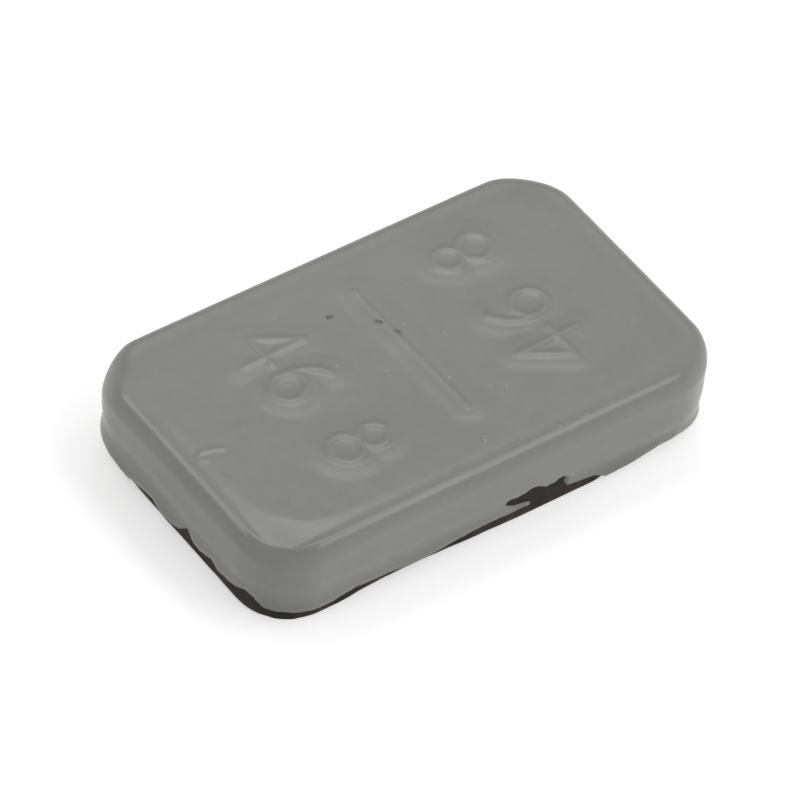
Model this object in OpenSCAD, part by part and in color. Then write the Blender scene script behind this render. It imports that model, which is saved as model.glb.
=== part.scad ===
// Stick-on wheel balance weight: a pressed steel slug in a thick plastic coat.
// X runs along the weight, Y across it, Z up; the origin is the middle of the
// flat underside, which is the face that is stuck to the rim.

/* [Overall size] */
// Length over the coat
coat_l = 19.2; // [14:0.1:32]
// Width over the coat
coat_w = 11.6; // [9:0.1:20]
// Height from the underside to the flat border of the coat's top
border_h = 3.24; // [2.6:0.02:6]
// Radius of the four upright corners, over the coat
corner_r = 2.24; // [1.6:0.02:3.6]

/* [Coat] */
// Thickness of the coat on the side walls
coat_side = 0.2; // [0.12:0.01:0.3]
// Thickness of the coat over the slug's top
coat_top = 0.18; // [0.12:0.01:0.3]
// Radius of the coat's top edge
coat_edge_r = 0.52; // [0.36:0.02:0.8]
// Height of the coat's hem above the underside
hem_h = 0.24; // [0.16:0.02:0.4]
// Radius under the hem, where the coat thins out
hem_r = 0.16; // [0.08:0.01:0.18]
// Height of the waist, where the coat drew in round the wall
waist_h = 1.3; // [1.1:0.05:1.7]
// Length of the waist's curve up the wall
waist_span = 1.1; // [0.6:0.05:1.3]
// Depth of the waist
waist_deep = 0.07; // [0.02:0.01:0.1]

/* [Raised field] */
// How far the field's edge lies inside the wall
field_in = 0.74; // [0.65:0.02:1.2]
// Radius of the field's corners
field_r = 3.15; // [2:0.05:3.6]
// Height of the field above the border
field_up = 0.04; // [0.02:0.01:0.08]
// Width of the slope up to the field
field_slope = 0.4; // [0.2:0.02:0.8]

/* [Steel slug] */
// Radius of the slug's top edge
slug_edge_r = 0.34; // [0.2:0.02:0.6]
// Radius of the slug's bottom edge
slug_foot_r = 0.14; // [0.08:0.02:0.2]

/* [Dividing rib] */
// Length of the rib's crest on the slug
rib_l = 6.4; // [4:0.1:8]
// Width of the rib's foot on the slug
rib_w = 0.42; // [0.3:0.02:0.8]
// Height of the rib on the slug
rib_h = 0.12; // [0.1:0.01:0.21]
// Width that the coat adds on each side of the rib
rib_cover = 0.14; // [0.08:0.01:0.3]
// Reach of the coat's soft foot on each side of the rib
rib_foot = 0.5; // [0.3:0.02:0.7]
// Height of that soft foot
rib_foot_up = 0.03; // [0.02:0.005:0.06]
// Place of the rib along the weight, from the middle
rib_x = 0.43; // [-2:0.01:2]
// Place of the rib across the weight, from the middle
rib_y = 0.37; // [-1:0.01:1]
// Turn of the rib from square, as pressed
rib_turn = 1.5; // [-4:0.1:4]

/* [Torn hem] */
// Height of the bare steel round the near corner
corner_bare = 0.6; // [0.46:0.02:0.8]
// Length of the bare stretch that runs on from that corner along the long wall
long_run = 2.8; // [1:0.1:3.4]
// Length of the bare stretch that runs on from it along the short wall
short_run = 1.9; // [0.8:0.1:2.2]
// Place of the large chip's middle along the long wall
chip_x = 1.35; // [-1.5:0.05:2.5]
// Length of the large chip
chip_l = 2.55; // [1:0.05:3.2]
// Height of the large chip's top above the underside
chip_top = 1.46; // [1.1:0.02:1.8]
// Length of the bare stretch under the large chip
chip_run = 5.2; // [3.4:0.1:5.6]
// Height of the bare steel along that stretch
chip_bare = 0.5; // [0.4:0.02:0.6]
// Place of the small chip along the short wall
nick_y = -0.95; // [-1.2:0.05:2]
// Length of the small chip at the hem
nick_l = 1.05; // [0.6:0.05:1.6]
// Height of the small chip's top above the underside
nick_top = 1.12; // [0.8:0.02:1.4]

/* [Hidden] */
$fn = 96;
COAT = "#86887f";
STEEL = "#413a36";
slug_l = coat_l - 2 * coat_side;
slug_w = coat_w - 2 * coat_side;
slug_h = border_h - coat_top;
slug_r = corner_r - coat_side;
field_h = border_h + field_up;
rib_crest = slug_h + rib_h;
straight_l = coat_l - 2 * corner_r;
straight_w = coat_w - 2 * corner_r;
// Overlap of a cutter past the face that it opens
past = 1;
// Overlap of the walls' cutters into the corner's, so that no skin stays between
lap = coat_side / 4;

// Radius of the arc that rises by high over half of a chord
function arc_r(chord, high) = (chord * chord / 4 + high * high) / (2 * high);

// Sweeps a half profile, drawn with X outwards from a corner's axis and Y up,
// round a rectangle with rounded corners; it spans z0 to z1 at the axis
module swept(l, w, r, z0, z1) {
    in_l = l - 2 * r;
    in_w = w - 2 * r;
    for (turn = [0, 180])
        rotate(turn) {
            translate([in_l / 2, in_w / 2, 0])
                rotate_extrude(angle = 90) children();
            translate([-in_l / 2, in_w / 2, 0])
                rotate(90) rotate_extrude(angle = 90) children();
            translate([in_l / 2, in_w / 2, 0])
                rotate([90, 0, 0]) linear_extrude(in_w) children();
            translate([-in_l / 2, in_w / 2, 0])
                rotate([90, 0, 90]) linear_extrude(in_l) children();
        }
    translate([-in_l / 2, -in_w / 2, z0])
        cube([in_l, in_w, z1 - z0]);
}

// Half profile of a block with a rounded top edge and a rounded foot
module wall_profile(r, z0, z1, top_r, foot_r) {
    translate([0, z0 + foot_r]) square([r, z1 - z0 - top_r - foot_r]);
    translate([0, z0]) square([r - foot_r, foot_r]);
    translate([0, z1 - top_r]) square([r - top_r, top_r]);
    intersection() {
        translate([r - foot_r, z0 + foot_r]) circle(foot_r);
        translate([r - foot_r, z0]) square(foot_r);
    }
    intersection() {
        translate([r - top_r, z1 - top_r]) circle(top_r);
        translate([r - top_r, z1 - top_r]) square(top_r);
    }
}

// Outside of the wall: rounded top edge, waist and the curl under the hem
module coat_profile() {
    waist_r = arc_r(waist_span, waist_deep);
    difference() {
        wall_profile(corner_r, hem_h, border_h, coat_edge_r, hem_r);
        translate([corner_r - waist_deep + waist_r, waist_h]) circle(waist_r, $fn = 360);
    }
}

// Low rounded bar along Y with round ends, standing on z = 0
module bar(l, w, h) {
    r = arc_r(w, h);
    for (end = [0, 180])
        rotate(end) translate([0, l / 2, 0]) rotate_extrude(angle = 180)
            intersection() {
                translate([0, h - r]) circle(r, $fn = 360);
                translate([0, -past]) square([w, h + past]);
            }
    translate([0, l / 2, 0]) rotate([90, 0, 0]) linear_extrude(l)
        intersection() {
            translate([0, h - r]) circle(r, $fn = 360);
            translate([-w, -past]) square([2 * w, h + past]);
        }
}

// Puts the rib where it was pressed, on a top at the given height
module rib_place(z) {
    translate([rib_x, rib_y, z]) rotate(rib_turn) children();
}

module slug_form() {
    swept(slug_l, slug_w, slug_r, 0, slug_h)
        wall_profile(slug_r, 0, slug_h, slug_edge_r, slug_foot_r);
    rib_place(slug_h) bar(rib_l, rib_w, rib_h);
}

// Field that stands a little above the border, with wider corners
module field() {
    l = coat_l - 2 * field_in;
    w = coat_w - 2 * field_in;
    swept(l, w, field_r, slug_h, field_h)
        polygon([[0, slug_h], [field_r, slug_h], [field_r, border_h],
                 [field_r - field_slope, field_h], [0, field_h]]);
}

module coat_form() {
    swept(coat_l, coat_w, corner_r, hem_h, border_h) coat_profile();
    field();
    rib_place(field_h) {
        bar(rib_l, rib_w + 2 * rib_cover, rib_crest + coat_top - field_h);
        bar(rib_l, rib_w + 2 * rib_foot, rib_foot_up);
    }
}

// Cuts through the wall of the coat that faces -Y; the outline is drawn with
// X along the wall and Y up, and reach is how far that wall is from the middle
module through_wall(reach) {
    translate([0, -reach + coat_side + slug_foot_r, 0])
        rotate([90, 0, 0]) linear_extrude(coat_side + slug_foot_r + past) children();
}

// Large chip: a ragged patch that leaves a tongue of coat under its left end
module large_chip() {
    l = chip_l;
    h = chip_top - chip_bare;
    translate([chip_x, chip_bare])
        polygon([[-0.5 * l, 0.72 * h], [-0.37 * l, 0.9 * h], [-0.12 * l, h],
                 [0.08 * l, 0.9 * h], [0.21 * l, 0.7 * h], [0.36 * l, 0.87 * h],
                 [0.5 * l, 0.74 * h], [0.48 * l, -0.1 * h], [-0.1 * l, -0.1 * h],
                 [-0.08 * l, 0.22 * h], [-0.3 * l, 0.34 * h], [-0.46 * l, 0.5 * h]]);
}

// Bare stretches of the long wall: one runs on from the near corner, and one
// lies under the large chip
module long_wall_tears() {
    start = -straight_l / 2;
    polygon([[start - lap, -past], [start - lap, corner_bare], [start, corner_bare],
             [start + 0.45 * long_run, 0.9 * corner_bare],
             [start + 0.75 * long_run, 0.6 * corner_bare], [start + long_run, hem_h],
             [start + long_run, -past]]);
    translate([chip_x, 0])
        polygon([[-0.44 * chip_run, -past], [-0.42 * chip_run, 0.92 * chip_bare],
                 [-0.2 * chip_run, chip_bare], [0.38 * chip_run, chip_bare],
                 [0.5 * chip_run, 0.6 * chip_bare], [0.56 * chip_run, -past]]);
    large_chip();
}

// Bare stretches of the short wall, with the small chip
module short_wall_tears() {
    end = straight_w / 2;
    polygon([[end + lap, -past], [end + lap, corner_bare], [end, corner_bare],
             [end - 0.6 * short_run, 0.8 * corner_bare],
             [end - short_run, hem_h], [end - short_run, -past]]);
    translate([-nick_y, 0])
        polygon([[-0.5 * nick_l, -past], [-0.5 * nick_l, hem_h], [-0.2 * nick_l, 0.8 * nick_top],
                 [-0.06 * nick_l, nick_top], [0.1 * nick_l, 0.82 * nick_top],
                 [0.5 * nick_l, 0.35 * nick_top], [0.5 * nick_l, -past]]);
}

// Bare stretch round the corner that both torn walls meet
module corner_tear() {
    inner = corner_r - coat_side - slug_foot_r;
    translate([-straight_l / 2, -straight_w / 2, 0])
        rotate(180) rotate_extrude(angle = 90)
            translate([inner, -past]) square([coat_side + slug_foot_r + past, corner_bare + past]);
}

module tears() {
    through_wall(coat_w / 2) long_wall_tears();
    rotate(-90) through_wall(coat_l / 2) short_wall_tears();
    corner_tear();
}

module steel_slug() {
    color(STEEL) slug_form();
}

module grey_coat() {
    color(COAT) difference() {
        coat_form();
        slug_form();
        tears();
    }
}

steel_slug();
grey_coat();
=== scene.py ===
"""Stick-on wheel balance weight: a pressed steel slug in a thick, dipped grey plastic coat."""

import bmesh
import bpy
import numpy as np
from mathutils import Matrix, Vector


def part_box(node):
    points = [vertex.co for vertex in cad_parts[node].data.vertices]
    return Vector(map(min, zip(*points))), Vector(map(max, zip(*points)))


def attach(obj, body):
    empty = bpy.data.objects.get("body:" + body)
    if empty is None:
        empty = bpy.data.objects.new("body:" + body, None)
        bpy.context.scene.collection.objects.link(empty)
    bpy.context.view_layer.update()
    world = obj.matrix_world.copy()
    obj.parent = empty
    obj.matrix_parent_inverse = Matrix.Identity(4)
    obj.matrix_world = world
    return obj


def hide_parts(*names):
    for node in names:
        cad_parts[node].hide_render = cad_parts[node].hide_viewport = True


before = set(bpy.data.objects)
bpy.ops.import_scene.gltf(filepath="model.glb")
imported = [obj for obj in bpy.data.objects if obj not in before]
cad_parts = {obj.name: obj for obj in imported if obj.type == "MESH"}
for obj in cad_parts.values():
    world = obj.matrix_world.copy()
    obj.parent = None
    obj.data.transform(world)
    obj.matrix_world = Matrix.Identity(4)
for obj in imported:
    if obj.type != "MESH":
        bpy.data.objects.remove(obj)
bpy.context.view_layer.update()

# Steel slug: a block pressed from mild steel, which gives the weight its mass. The coat hides it,
# except for a dark scaled rim along its foot and the spots where the coat has chipped away.
MM = 0.001
coat_high = np.array(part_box("grey_coat")[1]) / MM
slug_high = np.array(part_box("steel_slug")[1]) / MM
HALF_L, HALF_W = coat_high[0], coat_high[1]
# Radius of the upright corners, over the coat; the inner rectangle joins their centres
CORNER_R = 2.24
CORE_X, CORE_Y = HALF_L - CORNER_R, HALF_W - CORNER_R
WALL_COAT = HALF_L - slug_high[0]
SLUG_R = CORNER_R - WALL_COAT
# How far the slug's flat top lies under the coat's highest point, and the radius of its top edge
ROOF_DROP, SLUG_EDGE = 0.38, 0.62
SLUG_ROOF = coat_high[2] - ROOF_DROP
SLUG_SPAN = SLUG_R + SLUG_ROOF
# Rounding of the foot, as pairs of distance round the wall and radius
FOOT = [(-30, 0.25), (-17, 0.30), (-11, 0.70), (-9.4, 0.84), (-8.5, 0.66), (-7.9, 0.30), (-7.4, 0.22),
        (-1.5, 0.20), (0, 0.03), (0.7, 0.03), (1.3, 0.12), (2.0, 0.03), (2.5, 0.05), (3.6, 0.30), (4.4, 0.38),
        (6, 0.38), (8, 0.22), (10, 0.10), (12, 0.05), (13.2, 0.08), (13.6, 0.25), (14.5, 0.40), (16, 0.79),
        (16.8, 0.91), (17.3, 0.78), (18.4, 0.40), (21.5, 0.25), (30, 0.25)]
SHARPEST_FOOT = 0.03
EIGHTH_TURN = np.pi / 4


def steps(*stretches):
    """Positions along a line from stretches of (start, end, spacing), each end shared with the next."""
    parts = [np.linspace(a, b, max(2, int(round((b - a) / gap)) + 1))[:-1] for a, b, gap in stretches]
    return np.concatenate(parts + [[stretches[-1][1]]])


def folded(u, v):
    """A flat sheet folded over the block: its middle lies on top and its edges hang down the walls. Gives
    each point's foot on the block's inner rectangle, the outward direction from there, and the distance m
    along the folded section. Inside a corner, m is the larger of the two excesses past the rectangle and
    the direction turns by 45 degrees times their ratio, so squares become quarter rings."""
    over_x = np.maximum(np.abs(u) - CORE_X, 0.0)
    over_y = np.maximum(np.abs(v) - CORE_Y, 0.0)
    m = np.maximum(over_x, over_y)
    ratio = np.minimum(over_x, over_y) / np.maximum(m, 1e-9)
    angle = np.where(over_x >= over_y, ratio * EIGHTH_TURN, (2 - ratio) * EIGHTH_TURN)
    out_x = np.cos(angle) * np.where(u < 0, -1.0, 1.0)
    out_y = np.sin(angle) * np.where(v < 0, -1.0, 1.0)
    return np.clip(u, -CORE_X, CORE_X), np.clip(v, -CORE_Y, CORE_Y), out_x, out_y, m


def round_the_wall(foot_x, foot_y, out_x, out_y):
    """Distance round the wall from the corner at -X -Y: positive along the long wall towards +X,
    negative along the short wall towards +Y. It is the turn from that corner times its radius, plus
    the way along the straight walls."""
    turn = np.arctan2(out_y, out_x) + 3 * EIGHTH_TURN
    turn = (turn + np.pi) % (2 * np.pi) - np.pi
    side = np.where(turn < 0, -1.0, 1.0)
    return side * (CORNER_R * np.abs(turn) + (foot_x + CORE_X) + (foot_y + CORE_Y))


def ripple(s, seed, waves, finest, size):
    """A smooth wander along s: a sum of sines with seeded phases, from the longest wavelength down to the
    finest, in which a long wave is somewhat higher than a short one."""
    longest, fall_off = 6.0, 0.35
    rng = np.random.default_rng(seed)
    length = np.geomspace(longest, finest, waves)
    phase = rng.uniform(0, 2 * np.pi, waves)
    height = size * rng.uniform(0.5, 1.0, waves) * (length / longest) ** fall_off
    waved = height[:, None] * np.sin(2 * np.pi * s.ravel() / length[:, None] + phase[:, None])
    return waved.sum(0).reshape(s.shape)


def read_off(pairs, s):
    """Value at s from pairs of distance round the wall and value."""
    return np.interp(s, *zip(*pairs))


def foot_inset(s, z):
    """How far the foot's rounding draws the wall in at height z: a quarter circle of the radius in FOOT."""
    radius = read_off(FOOT, s) + ripple(s, seed=5, waves=7, finest=0.9, size=0.010)
    radius = np.maximum(radius, SHARPEST_FOOT)
    low = np.clip(1 - z / radius, 0, 1)
    return radius * (1 - np.sqrt(1 - low * low))


def slug_surface(u, v):
    """Top and walls: the section runs out over the top, round the top edge and down to the rounded foot."""
    foot_x, foot_y, out_x, out_y, m = folded(u, v)
    s = round_the_wall(foot_x, foot_y, out_x, out_y)
    arc = SLUG_EDGE * np.pi / 2
    flat = SLUG_R - SLUG_EDGE
    t = np.clip((m - flat) / arc, 0, 1) * np.pi / 2
    rho = np.minimum(m, flat) + SLUG_EDGE * np.sin(t)
    z = SLUG_ROOF - SLUG_EDGE * (1 - np.cos(t))
    down = np.clip((m - flat - arc) / (SLUG_SPAN - flat - arc), 0, 1)
    z = z - down * (SLUG_ROOF - SLUG_EDGE)
    rho = rho - foot_inset(s, z) * (down > 0)
    return np.stack([foot_x + out_x * rho, foot_y + out_y * rho, z], axis=-1)


def grid_faces(rows, cols):
    """Quads of a grid whose points are numbered row by row."""
    index = np.arange(rows * cols).reshape(rows, cols)
    a, b, c, d = index[:-1, :-1], index[1:, :-1], index[1:, 1:], index[:-1, 1:]
    return np.stack([a, b, c, d], axis=-1).reshape(-1, 4)


def rim_of(rows, cols):
    """Point numbers round the edge of a grid, in order."""
    index = np.arange(rows * cols).reshape(rows, cols)
    return np.concatenate([index[:-1, 0], index[-1, :-1], index[:0:-1, -1], index[0, :0:-1]])


def solid_from(name, points, quads, cap):
    """A closed, smooth-shaded mesh object from points in millimetres, its faces turned outwards."""
    mesh = bpy.data.meshes.new(name)
    mesh.from_pydata((points * MM).tolist(), [], quads.tolist() + [list(cap)])
    work = bmesh.new()
    work.from_mesh(mesh)
    bmesh.ops.recalc_face_normals(work, faces=work.faces)
    work.to_mesh(mesh)
    work.free()
    mesh.polygons.foreach_set("use_smooth", np.ones(len(mesh.polygons), dtype=bool))
    mesh.update()
    piece = bpy.data.objects.new(name, mesh)
    bpy.context.scene.collection.objects.link(piece)
    return piece


def sewn(name, sheet, rings):
    """A sheet of points closed underneath: each ring is sewn to the one before, and the last gets a cap."""
    rows, cols = sheet.shape[:2]
    previous = rim_of(rows, cols)
    n, base = len(previous), rows * cols
    quads = [grid_faces(rows, cols)]
    for k in range(len(rings)):
        new = base + k * n + np.arange(n)
        quads.append(np.stack([previous, new, np.roll(new, -1), np.roll(previous, -1)], axis=-1))
        previous = new
    return solid_from(name, np.concatenate([sheet.reshape(-1, 3)] + rings), np.concatenate(quads), previous)


def make_slug():
    """Top sheet, and an underside of rings that shrink towards the middle."""
    wall, edge, top = 0.08, 0.22, 0.16
    us, vs = (steps((-core - SLUG_SPAN, -core - SLUG_R, wall), (-core - SLUG_R, -core, edge),
                    (-core, core, top), (core, core + SLUG_R, edge),
                    (core + SLUG_R, core + SLUG_SPAN, wall))
              for core in (CORE_X, CORE_Y))
    sheet = slug_surface(*np.meshgrid(us, vs, indexing="ij"))
    ring = sheet.reshape(-1, 3)[rim_of(*sheet.shape[:2])]
    return sewn("bare_slug", sheet, [ring * np.array([k, k, 0.0]) for k in (0.985, 0.94, 0.8, 0.55, 0.28)])


class Shade:
    """A shader socket with arithmetic: values add Math nodes, and node() adds any other node."""

    tree = None

    def __init__(self, socket):
        self.socket = socket

    @classmethod
    def node(cls, kind, settings=(), out=0, **inputs):
        made = cls.tree.nodes.new(kind)
        for key, value in dict(settings).items():
            if key == "stops":
                ramp = made.color_ramp
                while len(ramp.elements) < len(value):
                    ramp.elements.new(0.5)
                for element, (place, colour) in zip(ramp.elements, value):
                    element.position = place
                    element.color = (*colour, 1.0)
            else:
                setattr(made, key, value)
        for key, value in inputs.items():
            socket = made.inputs[int(key[1:])] if key[1:].isdigit() else made.inputs[key.replace("_", " ")]
            cls.feed(socket, value)
        return cls(made.outputs[out])

    @classmethod
    def feed(cls, socket, value):
        if isinstance(value, Shade):
            cls.tree.links.new(value.socket, socket)
        else:
            socket.default_value = value

    def math(self, operation, other=0.0, swap=False):
        first, second = (other, self) if swap else (self, other)
        return Shade.node("ShaderNodeMath", {"operation": operation}, i0=first, i1=second)

    def __add__(self, other): return self.math("ADD", other)
    def __radd__(self, other): return self.math("ADD", other, swap=True)
    def __sub__(self, other): return self.math("SUBTRACT", other)
    def __rsub__(self, other): return self.math("SUBTRACT", other, swap=True)
    def __mul__(self, other): return self.math("MULTIPLY", other)
    def __rmul__(self, other): return self.math("MULTIPLY", other, swap=True)

    def ramp(self, start, end, low=0.0, high=1.0):
        """The value carried from start..end to low..high, smoothly and clamped."""
        return Shade.node("ShaderNodeMapRange", {"interpolation_type": "SMOOTHSTEP"},
                          i0=self, i1=start, i2=end, i3=low, i4=high)


def noise(place, size_mm, detail=3.0, rough=0.5):
    """Noise whose features are about size_mm across."""
    return Shade.node("ShaderNodeTexNoise", Vector=place, Scale=1.0 / (size_mm * MM), Detail=detail,
                      Roughness=rough)


def new_material(name):
    """An empty Principled material; Shade then writes into it."""
    material = bpy.data.materials.new(name)
    material.use_nodes = True
    Shade.tree = material.node_tree
    return material, Shade.tree.nodes["Principled BSDF"]


def bump(height, strength, distance_mm):
    """A Bump node's normal from a height."""
    return Shade.node("ShaderNodeBump", Strength=strength, Distance=distance_mm * MM, Height=height)


slug = make_slug()
steel, shader = new_material("scaled_steel")
place = Shade.node("ShaderNodeTexCoord", out="Object")
patches = noise(place, 1.3, 4.0, 0.6)
grain = noise(place, 0.16, 4.0, 0.65)
scale_tone = Shade.node("ShaderNodeValToRGB", {"stops": [
    (0.36, (0.008, 0.007, 0.006)), (0.50, (0.018, 0.014, 0.011)), (0.58, (0.048, 0.034, 0.024)),
    (0.68, (0.026, 0.023, 0.020))]}, Fac=patches * 0.65 + grain * 0.35)
Shade.feed(shader.inputs["Base Color"], scale_tone)
Shade.feed(shader.inputs["Roughness"], grain.ramp(0.3, 0.7, 0.50, 0.75))
shader.inputs["Metallic"].default_value = 0.15
shader.inputs["Specular IOR Level"].default_value = 0.3
Shade.feed(shader.inputs["Normal"], bump(grain * 0.6 + noise(place, 0.05, 3.0) * 0.4, 0.6, 0.03))
slug.data.materials.append(steel)
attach(slug, "root")
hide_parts("steel_slug")

# Grey coat: thick plastic that was dipped on and dried. It is drawn over the slug's top and walls,
# rounds every edge, lies soft over the rib and the marks pressed in the steel, and ends in a ragged hem.

# Height of the field; how far its outline lies inside the wall, the radius of its corners and the slope
# that leaves it
FIELD_Z = coat_high[2] - 0.08
FIELD_IN, FIELD_R, FIELD_SLOPE = 1.12, 2.55, 0.100
# Way from the edge at which the slope ends, how much nearer that is at a corner, and how softly the slope
# starts and ends
SLOPE_END, SLOPE_END_NEARER = 0.84, 0.32
SOFT_START, SOFT_END = 0.006, 0.002
# Shares of the slope: on the near long side it fades along a stretch in X, on the side at -X along two
# stretches in Y, on the far sides it is slight, and at the corners it gains
LONG_SHARE, LONG_FADE, LONG_STRETCH = 0.75, 0.45, (-7.2, -3.4)
LEFT_FADES = [(0.4, (-2.8, -1.2)), (0.5, (1.5, 3.8))]
FAR_SHARE, CORNER_GAIN = 0.35, 0.25
# The bead along the edge: its height, way from the edge, half width, and its share on the far sides, which
# is 1 more on the near sides
BEAD_UP, BEAD_IN, BEAD_HALF, BEAD_SHARE = 0.012, 0.48, 0.13, 0.4
# Radius of the top edge, how much sharper it is on the far sides, and how much softer at the corners: at
# -X -Y, at -X +Y and at +X
EDGE_R, FAR_SHARPER = 0.55, 0.14
NEAR_SOFTER, LEFT_SOFTER, RIGHT_SOFTER = 0.04, 0.48, 0.14
COAT_FLAT = CORNER_R - EDGE_R
COAT_ARC = EDGE_R * np.pi / 2
WALL_SPAN, LIP_SPAN = 3.3, 0.30
COAT_SPAN = COAT_FLAT + COAT_ARC + WALL_SPAN + LIP_SPAN
# How far skins lie inside the slug's wall: the inner one, and the outer one where the coat is chipped
SUNK, CHIP_SUNK = 0.02, 0.05
# Turn round the top edge, in radians, over which the relief of the top fades out
RELIEF_FADES = (0.1, 1.0)
# The waist: its height, as pairs of distance round the wall and height, its depth and half height
WAIST = [(-11, 1.35), (-6, 1.3), (0, 1.2), (9, 1.1), (17, 0.8), (20, 0.8), (26, 1.2)]
WAIST_DEEP, WAIST_HALF = 0.075, 0.42
# Draft of the wall, how far and how high the coat curls in above the hem, and the share of the wall, from
# its top, over which these set in
DRAFT, CURL_IN, CURL_HIGH, PULL_SETS_IN = 0.010, 0.065, 0.26, 0.12
# Heights of the hem above the base, as pairs of distance round the wall and height
HEM = [(-30, 0.20), (-17, 0.20), (-10.2, 0.05), (-8.7, 0.06), (-8, 0.36), (-7.1, 0.55), (-6.5, 0.61),
       (-5.9, 0.38), (-5.2, 0.46), (-4.9, 0.57), (-4.5, 0.97), (-4.1, 0.67), (-3.7, 0.65), (-3, 0.84),
       (-2.6, 0.67), (-2.1, 0.71), (-1.6, 0.80), (-1.2, 0.95), (-0.8, 0.86), (-0.4, 0.60), (0, 0.51),
       (2.2, 0.45), (3.1, 0.61), (4.4, 0.56), (6, 0.41), (8.3, 0.65), (9.5, 0.61), (12.1, 0.62),
       (13.1, 0.49), (13.8, 0.10), (16.6, 0.04), (19.5, 0.05), (21.5, 0.20), (30, 0.20)]
LOWEST_HEM = 0.03
# Thickness of the coat at the hem from which its lip hangs no lower
LIP_THICK = 0.08
# Outline of the large chip on the long wall, as places along the wall and heights
CHIP = [(0.20, 1.04), (0.20, 1.16), (0.26, 1.31), (0.42, 1.31), (0.60, 1.25), (0.96, 1.28), (1.24, 1.42),
        (1.50, 1.35), (1.92, 1.05), (2.05, 1.13), (2.26, 1.10), (2.38, 1.23), (2.60, 1.24), (2.80, 1.08),
        (2.76, 0.86), (2.86, 0.66), (2.86, 0.30), (1.50, 0.30), (1.44, 0.50), (1.18, 0.64), (0.63, 0.75),
        (0.36, 0.88)]
# Distances inside that outline between which the coat breaks off, and heights between which the chip ends
CHIP_BREAKS, CHIP_ENDS = (-0.04, 0.07), (0.05, 0.10)


def ease(x, start, end):
    """Smooth step: 0 before start, 1 after end, a cubic between."""
    t = np.clip((x - start) / (end - start), 0.0, 1.0)
    return t * t * (3 - 2 * t)


def bell(x, half):
    """Smooth bump: 1 where x is 0, and about a third where it is as large as half."""
    return np.exp(-(x / half) ** 2)


def facing_share(out):
    """Share of the direction out from the block that points along one axis: the four sides add up to 1."""
    return np.maximum(out, 0) ** 2


def corner_share(out_x, out_y):
    """1 in the middle of a corner, and 0 along the straight walls."""
    return (2 * np.abs(out_x * out_y)) ** 2


def stroke_distance(x, y, points):
    """Distance to a bent line."""
    near = np.full(x.shape, 1e9)
    for (ax, ay), (bx, by) in zip(points, points[1:]):
        dx, dy = bx - ax, by - ay
        t = np.clip(((x - ax) * dx + (y - ay) * dy) / (dx * dx + dy * dy), 0, 1)
        near = np.minimum(near, np.hypot(x - ax - t * dx, y - ay - t * dy))
    return near


def inside_outline(x, y, outline):
    """Signed distance to a closed outline, positive inside: the nearest edge gives the distance, and the
    number of edges that a ray to +X crosses gives the sign."""
    closed = outline + outline[:1]
    crossings = np.zeros(x.shape, dtype=int)
    for (ax, ay), (bx, by) in zip(closed, closed[1:]):
        if ay != by:
            crossings += ((ay > y) != (by > y)) & (x < ax + (y - ay) * (bx - ax) / (by - ay))
    near = stroke_distance(x, y, closed)
    return np.where(crossings % 2 == 1, near, -near)


def oval(cx, cy, rx, ry, start=0.0, end=360.0):
    """Points along part of an oval, angles in degrees from +X."""
    angles = np.radians(np.linspace(start, end, 25))
    return [(cx + rx * np.cos(a), cy + ry * np.sin(a)) for a in angles]


# Plain numbers, drawn as strokes in millimetres about the middle of their foot
NUMBERS = {
    "4": [[(0.28, 0.0), (0.28, 2.45), (-0.72, 0.84), (0.72, 0.84)]],
    "6": [oval(0.0, 0.70, 0.60, 0.66), oval(0.72, 0.86, 1.32, 1.56, 180, 112)],
    "8": [oval(0.0, 0.62, 0.62, 0.60), oval(0.0, 1.78, 0.50, 0.54)],
}
# Each number's place about the middle of the rib: along the piece, across it, the way its top points, and
# how far it stands up through the coat
ROWS = [("4", -5.33, 2.62, 1, 0.030), ("6", -5.33, 0.76, 1, 0.040), ("8", -5.33, -2.57, 1, 0.038),
        ("4", 5.37, -2.50, -1, 0.038), ("6", 5.37, -0.44, -1, 0.040), ("8", 5.37, 2.71, -1, 0.038)]
# Half width of a stroke's crest
STROKE_HALF = 0.16
# The swell round a mark: its height, and the distances from the mark between which it falls
APRON_UP, APRON_START, APRON_END = 0.022, 0.32, 0.94
# The rib: its middle, its turn, its line, and the height, half width and place aside of its fine crest; at
# both ends the crest is beaded
RIB_AT, RIB_TURN, RIB = (0.43, 0.37), np.radians(1.5), [(0.0, -3.2), (0.0, 3.2)]
CREST_UP, CREST_HALF, CREST_ASIDE = 0.020, 0.10, 0.06
RIB_ENDS, END_UP, END_HALF, END_ASIDE = (-3.15, 3.15), 0.024, 0.13, 0.02
# A hooked wisp of coat that dried on the top near -X: its line, height and half width
WISP = [(-7.71, -0.16), (-8.07, 0.0), (-8.42, 0.08), (-8.66, -0.02), (-8.70, -0.20), (-8.54, -0.29)]
WISP_UP, WISP_HALF = 0.026, 0.075
# Nibs along the near edge, as places and heights, and their half length and half width
NIBS = [(2.58, -5.20, 0.035), (3.68, -5.22, 0.025)]
NIB_HALF_L, NIB_HALF_W = 0.09, 0.12


def apron(near):
    """The broad low swell round a mark, where the wet coat drew up to it."""
    return APRON_UP * (1 - ease(near, APRON_START, APRON_END))


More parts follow.
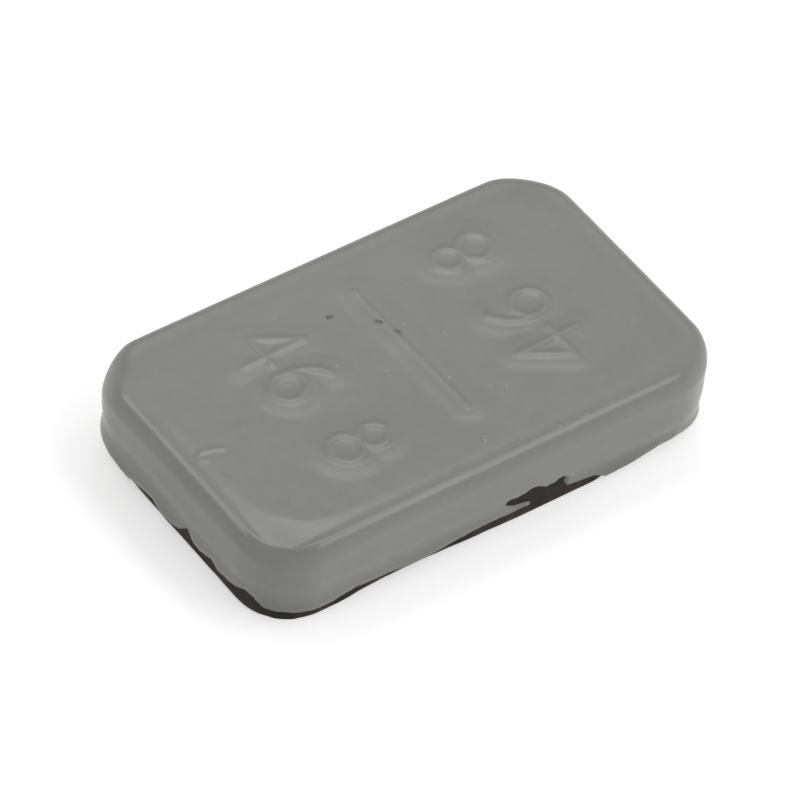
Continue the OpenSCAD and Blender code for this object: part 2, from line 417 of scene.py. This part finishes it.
def relief(x, y):
    """Height of what stands up from the top. Over the marks pressed in the slug there is a fine crest along
    the rib, a round crest along each stroke of the numbers, and the low swell round both; the coat's own
    wisp and nibs are added."""
    cx, cy = x - RIB_AT[0], y - RIB_AT[1]
    px = cx * np.cos(RIB_TURN) + cy * np.sin(RIB_TURN)
    py = -cx * np.sin(RIB_TURN) + cy * np.cos(RIB_TURN)
    rib = stroke_distance(px, py, RIB)
    height = apron(rib) + CREST_UP * bell(stroke_distance(px + CREST_ASIDE, py, RIB), CREST_HALF)
    for end in RIB_ENDS:
        height = height + END_UP * bell(np.hypot(px + END_ASIDE, py - end), END_HALF)
    for digit, foot, middle, way, depth in ROWS:
        across, up = (middle - py) * way, (px - foot) * way
        near = np.full(x.shape, 1e9)
        for stroke in NUMBERS[digit]:
            near = np.minimum(near, stroke_distance(across, up, stroke))
        height = np.maximum(height, apron(near)) + depth * bell(near, STROKE_HALF)
    height = height + WISP_UP * bell(stroke_distance(x, y, WISP), WISP_HALF)
    for nx, ny, high in NIBS:
        height = height + high * bell(x - nx, NIB_HALF_L) * bell(y - ny, NIB_HALF_W)
    return height


def crown(x, y, out_x, out_y, rho):
    """Height of the top about the field. From the field's outline the coat slopes down until it is a set
    way from the edge, which leaves a narrow border along the straight edges and nearly none at the corners.
    The slope is steepest at the corner at -X -Y and slight on the sides at +X and +Y. A low bead follows
    the edge, where the coat gathered."""
    qx, qy = np.abs(x) - (HALF_L - FIELD_IN - FIELD_R), np.abs(y) - (HALF_W - FIELD_IN - FIELD_R)
    past = np.hypot(np.maximum(qx, 0), np.maximum(qy, 0)) + np.minimum(np.maximum(qx, qy), 0) - FIELD_R
    near_long, far_long, left, right = (facing_share(out) for out in (-out_y, out_y, -out_x, out_x))
    corner = corner_share(out_x, out_y)
    slope = FIELD_SLOPE * (near_long * (LONG_SHARE - LONG_FADE * ease(x, *LONG_STRETCH))
                           + left * (1 - sum(fade * ease(y, *stretch) for fade, stretch in LEFT_FADES))
                           + FAR_SHARE * (far_long + right)) * (1 + CORNER_GAIN * corner)
    rest = SLOPE_END - SLOPE_END_NEARER * corner - (CORNER_R - rho)
    fall = 0.5 * (past + np.sqrt(past ** 2 + SOFT_START) - rest - np.sqrt(rest ** 2 + SOFT_END))
    bead = BEAD_UP * bell(CORNER_R - rho - BEAD_IN, BEAD_HALF)
    bead = bead * (1 - corner) * (near_long + left + BEAD_SHARE)
    return bead - slope * np.maximum(fall, 0)


def coat_surface(u, v):
    """Outer skin. The section runs out over the top, rounds the edge, goes down the wall with its drawn-in
    waist, and curls under at the hem to meet the slug."""
    foot_x, foot_y, out_x, out_y, m = folded(u, v)
    s = round_the_wall(foot_x, foot_y, out_x, out_y)
    hem = np.maximum(read_off(HEM, s) + ripple(s, seed=11, waves=16, finest=0.16, size=0.010), LOWEST_HEM)
    far = facing_share(out_x) + facing_share(out_y)
    softer = np.where(out_x < 0, np.where(out_y < 0, NEAR_SOFTER, LEFT_SOFTER), RIGHT_SOFTER)
    edge_r = EDGE_R - FAR_SHARPER * far + softer * corner_share(out_x, out_y)
    t = np.clip((m - COAT_FLAT) / COAT_ARC, 0, 1) * np.pi / 2
    rho = np.minimum(m / COAT_FLAT, 1) * (CORNER_R - edge_r) + edge_r * np.sin(t)
    down = np.clip((m - COAT_FLAT - COAT_ARC) / WALL_SPAN, 0, 1)
    lip = np.clip((m - COAT_FLAT - COAT_ARC - WALL_SPAN) / LIP_SPAN, 0, 1)
    x, y = foot_x + out_x * rho, foot_y + out_y * rho
    top = FIELD_Z + crown(x, y, out_x, out_y, rho) - edge_r * (1 - np.cos(t))
    z = hem + (top - hem) * (1 - down)
    uneven = sum(ripple(way, seed=seed, waves=5, finest=1.1, size=0.0012)
                 for way, seed in ((x * 0.9 + y * 0.5, 41), (x * 0.3 - y, 42)))
    z = z + (relief(x, y) + uneven) * (1 - ease(t, *RELIEF_FADES))
    # Wall: the waist, the draft, the curl above the hem, the rounded foot, and the chip in the long near wall
    pull = WAIST_DEEP * bell(z - read_off(WAIST, s), WAIST_HALF) + DRAFT
    pull = pull + CURL_IN * ease(hem + CURL_HIGH - z, 0.0, CURL_HIGH)
    pull = pull + ripple(s + 3 * z, seed=21, waves=6, finest=2.0, size=0.0025) + foot_inset(s, z)
    nicks = ripple(s, seed=31, waves=6, finest=0.12, size=0.008)
    chip = inside_outline(foot_x + CORNER_R * out_x, z + nicks, CHIP)
    long_wall = out_y < -0.7
    gone = ease(chip, *CHIP_BREAKS) * long_wall * ease(z, *CHIP_ENDS)
    rho = rho - np.maximum(pull, 0) * ease(down, 0.0, PULL_SETS_IN)
    rho = rho * (1 - gone) + (SLUG_R - CHIP_SUNK) * gone
    # Lip: the skin rolls round the hem and ends just inside the slug's wall
    end_rho = SLUG_R - SUNK - foot_inset(s, z)
    thick = rho - end_rho
    rho = end_rho + thick * np.cos(lip * np.pi / 2)
    z = z - 0.5 * np.minimum(np.abs(thick), LIP_THICK) * np.sin(lip * np.pi / 2) * (lip > 0)
    return np.stack([foot_x + out_x * rho, foot_y + out_y * rho, np.maximum(z, 0.0)], axis=-1)


def make_coat():
    """Outer skin, then the inner skin that lies against the slug, closed by a flat roof. The rows are closest
    along the near walls and over the large chip."""
    edge = COAT_FLAT + COAT_ARC
    wall = edge + WALL_SPAN
    us = steps((-CORE_X - COAT_SPAN, -CORE_X - wall, 0.06), (-CORE_X - wall, -CORE_X - edge, 0.08),
               (-CORE_X - edge, -CORE_X, 0.065), (-CORE_X, -0.3, 0.07), (-0.3, 3.1, 0.055),
               (3.1, CORE_X, 0.07), (CORE_X, CORE_X + edge, 0.08), (CORE_X + edge, CORE_X + wall, 0.10),
               (CORE_X + wall, CORE_X + COAT_SPAN, 0.07))
    vs = steps((-CORE_Y - COAT_SPAN, -CORE_Y - wall, 0.06), (-CORE_Y - wall, -CORE_Y - edge, 0.07),
               (-CORE_Y - edge, -CORE_Y, 0.065), (-CORE_Y, CORE_Y, 0.075), (CORE_Y, CORE_Y + edge, 0.08),
               (CORE_Y + edge, CORE_Y + wall, 0.11), (CORE_Y + wall, CORE_Y + COAT_SPAN, 0.07))
    sheet = coat_surface(*np.meshgrid(us, vs, indexing="ij"))
    roof_ring = sheet.reshape(-1, 3)[rim_of(*sheet.shape[:2])].copy()
    roof_ring[:, 2] = SLUG_ROOF - SLUG_EDGE
    cap_ring = roof_ring * np.array([0.97, 0.95, 1.0])
    cap_ring[:, 2] = SLUG_ROOF - SUNK
    return sewn("dipped_coat", sheet, [roof_ring, cap_ring])


def blend(share, first, second):
    """Colour mix: the first where share is 0, the second where it is 1."""
    return Shade.node("ShaderNodeMix", {"data_type": "RGBA"}, out=2, i0=share, i6=first, i7=second)


def spots(place, points, radius):
    """1 within about a radius (mm) of any of the points on the coat, with a ragged rim."""
    total = None
    ragged = (noise(place, radius, 2.0, 0.6) - 0.5) * (radius * 1.1 * MM)
    for x, y, z in points:
        away = ragged + Shade.node("ShaderNodeVectorMath", {"operation": "DISTANCE"}, out="Value",
                                   i0=place, i1=(x * MM, y * MM, z * MM))
        spot = away.ramp(radius * 0.25 * MM, radius * MM, 1.0, 0.0)
        total = spot if total is None else total.math("MAXIMUM", spot)
    return total


# Grit in the coat: dark pits and pale grains of dust. The first two pale spots, on the nibs at the near edge,
# are painted glints
RIB_Z = FIELD_Z + 0.03
PITS = [(-1.19, 3.05, FIELD_Z), (-1.08, 3.02, FIELD_Z), (0.19, 1.92, RIB_Z), (0.12, 2.02, RIB_Z),
        (0.42, 1.27, RIB_Z), (0.47, 1.22, RIB_Z)]
DUST_AND_GLINTS = [(2.58, -5.24), (3.68, -5.26), (-0.92, -0.08), (0.69, -1.44), (1.82, 0.36), (2.15, -2.72),
        (1.66, -2.47), (0.03, -4.43), (-2.24, 1.0), (0.84, 1.42)]
PIT_R, DUST_AND_GLINT_R = 0.15, 0.07

coat = make_coat()
plastic, shader = new_material("dipped_plastic")
place = Shade.node("ShaderNodeTexCoord", out="Object")
cloud = noise(place, 3.0, 3.0, 0.5)
fine = noise(place, 0.35, 2.0, 0.5)
pit = spots(place, PITS, PIT_R)
dust_and_glints = spots(place, [(x, y, FIELD_Z + 0.01) for x, y in DUST_AND_GLINTS], DUST_AND_GLINT_R)
GREY_LOW, GREY_HIGH = (0.179, 0.184, 0.164, 1.0), (0.220, 0.225, 0.202, 1.0)
DUST_AND_GLINT_GREY = (0.42, 0.42, 0.40, 1.0)
# Dark brown of the pits, and the brown of the painted shade low on the wall
PIT_BROWN, HEM_SHADE_BROWN = (0.035, 0.028, 0.026, 1.0), (0.075, 0.062, 0.060, 1.0)
along, across, upward = (Shade.node("ShaderNodeSeparateXYZ", out=axis, Vector=place) for axis in "XYZ")
# Painted sheen: the grey is painted paler towards the far side and a little towards +X, where the top catches
# more of the light
painted_sheen = (across + along * 0.22).ramp(-6.0 * MM, 8.5 * MM)
tone = blend(cloud.ramp(0.35, 0.65) * 0.22 + fine.ramp(0.35, 0.65) * 0.13 + painted_sheen * 0.65, GREY_LOW, GREY_HIGH)
# Pale specks, grains of dust, and the painted glints on the nibs
tone = blend(noise(place, 0.10, 1.0, 0.5).ramp(0.74, 0.80) * 0.25 + dust_and_glints * 0.4, tone, DUST_AND_GLINT_GREY)
tone = blend(pit * 0.6, tone, PIT_BROWN)
# Painted shade: towards the hem the low wall is painted darker, in the dark steel's brown
tone = blend(upward.ramp(0.45 * MM, 1.15 * MM, 0.32, 0.0), tone, HEM_SHADE_BROWN)
Shade.feed(shader.inputs["Base Color"], tone)
Shade.feed(shader.inputs["Roughness"], fine.ramp(0.3, 0.7, 0.20, 0.24) + pit * 0.3)
shader.inputs["IOR"].default_value = 1.5
Shade.feed(shader.inputs["Normal"], bump(fine * 0.25 + cloud - pit * 1.5, 0.15, 0.01))
coat.data.materials.append(plastic)
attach(coat, "root")
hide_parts("grey_coat")

# Studio: a white floor that keeps the weight's shadow, and a white surround.
FLOOR_HALF = 3.0
floor_mesh = bpy.data.meshes.new("floor")
floor_mesh.from_pydata([(-FLOOR_HALF, -FLOOR_HALF, 0), (FLOOR_HALF, -FLOOR_HALF, 0),
                        (FLOOR_HALF, FLOOR_HALF, 0), (-FLOOR_HALF, FLOOR_HALF, 0)], [], [(0, 1, 2, 3)])
floor = bpy.data.objects.new("floor", floor_mesh)
bpy.context.scene.collection.objects.link(floor)
floor_paint, shader = new_material("white_floor")


def seen():
    """1 for rays from the camera, or off or through something shiny, and 0 for the light that falls on
    things."""
    camera_ray, glossy_ray, clear_ray = (Shade.node("ShaderNodeLightPath", out=f"Is {kind} Ray")
                                         for kind in ("Camera", "Glossy", "Transmission"))
    return camera_ray.math("MAXIMUM", glossy_ray).math("MAXIMUM", clear_ray)


shader.inputs["Base Color"].default_value = (0.88, 0.88, 0.88, 1.0)
shader.inputs["Roughness"].default_value = 0.9
shader.inputs["Specular IOR Level"].default_value = 0.0
# The floor glows for the rays that see it, and a little more for the camera, so that it comes out white
SEEN_GLOW, CAMERA_GLOW = 0.24, 0.22
glow = seen() * SEEN_GLOW + Shade.node("ShaderNodeLightPath", out="Is Camera Ray") * CAMERA_GLOW
Shade.feed(shader.inputs["Emission Color"], blend(glow, (0.0, 0.0, 0.0, 1.0), (1.0, 1.0, 1.0, 1.0)))
shader.inputs["Emission Strength"].default_value = 1.0
floor_mesh.materials.append(floor_paint)

world = bpy.data.worlds.new("surround")
bpy.context.scene.world = world
world.use_nodes = True
Shade.tree = world.node_tree
backdrop = Shade.tree.nodes["Background"]
backdrop.inputs["Color"].default_value = (1.0, 1.0, 1.0, 1.0)
# The light that falls on things comes mostly from the sides, as in a light tent that is open to the camera
light_way = Shade.node("ShaderNodeTexCoord", out="Generated")
# Strength of the tent overhead, how much it gains towards the horizon, the share that the opening takes away,
# and the strengths of the two bright sides
OVERHEAD, HORIZON, OPENED = 0.04, 1.9, 0.95
RIGHT_BRIGHT, LEFT_BRIGHT = 4.6, 2.4


def facing(direction):
    """Cosine between the way that the light comes from and a direction, and 0 behind it."""
    cosine = Shade.node("ShaderNodeVectorMath", {"operation": "DOT_PRODUCT"}, out="Value",
                        i0=light_way, i1=tuple(Vector(direction).normalized()))
    return cosine.math("MAXIMUM", 0.0)


lower = 1.0 - facing((0.0, 0.0, 1.0))
opening = facing((-0.66, -0.75, 0.15))
tent = (OVERHEAD + HORIZON * lower * lower * lower) * (1.0 - OPENED * opening * opening * opening)
right_side, left_side = facing((0.62, -0.78, 0.02)), facing((-0.98, 0.12, 0.04))
tent = tent + lower * (RIGHT_BRIGHT * right_side * right_side * right_side
                       + LEFT_BRIGHT * left_side * left_side * left_side)
look = seen()
Shade.feed(backdrop.inputs["Strength"], look + (1.0 - look) * tent)


def lamp(name, direction, size, watts, reach=0.30):
    """A soft lamp at a distance from the weight, facing it: its size is along the horizon, then upwards."""
    data = bpy.data.lights.new(name, "AREA")
    data.shape = "RECTANGLE"
    data.size, data.size_y = size
    data.energy = watts
    thing = bpy.data.objects.new(name, data)
    toward = Vector(direction).normalized()
    thing.location = toward * reach
    thing.rotation_euler = toward.to_track_quat("Z", "Y").to_euler()
    bpy.context.scene.collection.objects.link(thing)


# The two strips behind give the lines of light along the near edges. The panel between them lights the slopes
# and the marks that lean towards the camera, and the small low one gives the flat top its sheen.
lamp("behind_right", (0.456, -0.080, 0.886), (0.174, 0.07), 0.110)
lamp("behind_left", (-0.111, 0.522, 0.842), (0.164, 0.07), 0.112)
lamp("behind", (0.34, 0.40, 0.85), (0.085, 0.078), 0.068)
lamp("low_behind", (0.46, 0.55, 0.70), (0.080, 0.016), 0.0030, 0.080)

# Camera: the view direction, roll and distance that the outline of the weight gives
AZIMUTH, ELEVATION, ROLL = np.radians([40.05, 45.98, -6.3])
DISTANCE = 0.2419
LENS = 318.2
AIM_RIGHT, AIM_UP = -0.00012, 0.000875
ahead = Vector((np.sin(AZIMUTH), np.cos(AZIMUTH), 0.0))
right = Vector((np.cos(AZIMUTH), -np.sin(AZIMUTH), 0.0))
back = Vector((0, 0, 1)) * np.sin(ELEVATION) - ahead * np.cos(ELEVATION)
up = Vector((0, 0, 1)) * np.cos(ELEVATION) + ahead * np.sin(ELEVATION)
camera_x = right * np.cos(ROLL) - up * np.sin(ROLL)
camera_y = right * np.sin(ROLL) + up * np.cos(ROLL)
camera_data = bpy.data.cameras.new("camera")
camera_data.lens = LENS
camera_data.sensor_width = 36.0
camera_data.clip_start = 0.01
camera = bpy.data.objects.new("camera", camera_data)
turn = Matrix((camera_x, camera_y, back)).transposed().to_4x4()
camera.matrix_world = Matrix.Translation(back * DISTANCE + right * AIM_RIGHT + up * AIM_UP) @ turn
bpy.context.scene.collection.objects.link(camera)
bpy.context.scene.camera = camera
bpy.context.scene.view_settings.view_transform = "Standard"
